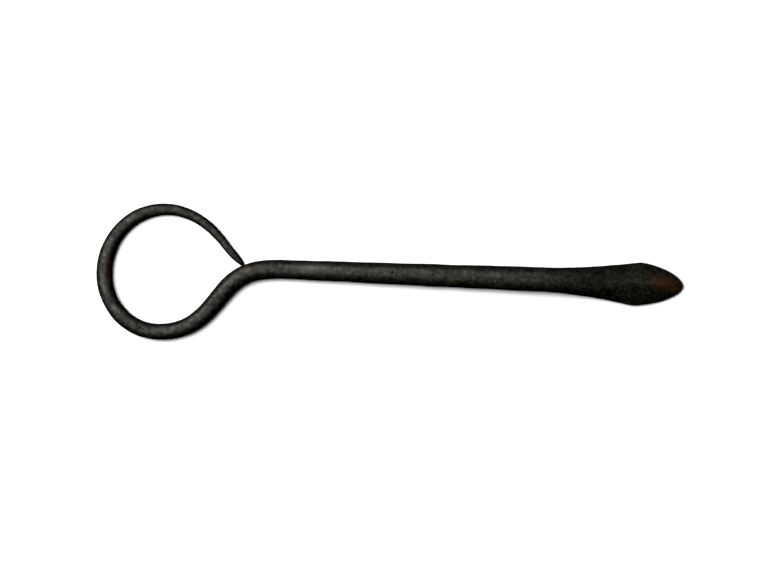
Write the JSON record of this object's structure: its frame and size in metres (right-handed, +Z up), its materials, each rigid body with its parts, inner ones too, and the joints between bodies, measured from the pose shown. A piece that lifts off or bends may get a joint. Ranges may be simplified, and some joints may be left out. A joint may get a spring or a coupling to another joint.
{
  "type": "skewer",
  "caption": "Short hand-forged iron skewer: finger ring closed onto a reverse-bent neck, shank thickening to a flattened leaf-shaped point.",
  "frame": {"origin": "middle of the part's box in plan, on the surface that it lies on", "axes": "+X along the shank from the ring to the point, +Y towards the side where the ring's end closes onto the neck, +Z up out of the dressed underside"},
  "size_m": [0.178, 0.0414, 0.0069],
  "materials": {
    "blackened_iron": "hand-forged wrought iron, fire-blackened and oiled, faintly brown with old rust at the leaf and inside the ring"
  },
  "bodies": {
    "root": {"ring_end": "blackened_iron", "ring_upper": "blackened_iron", "ring_lower": "blackened_iron", "neck": "blackened_iron", "shank": "blackened_iron", "leaf_point": "blackened_iron"}
  },
  "joints": []
}
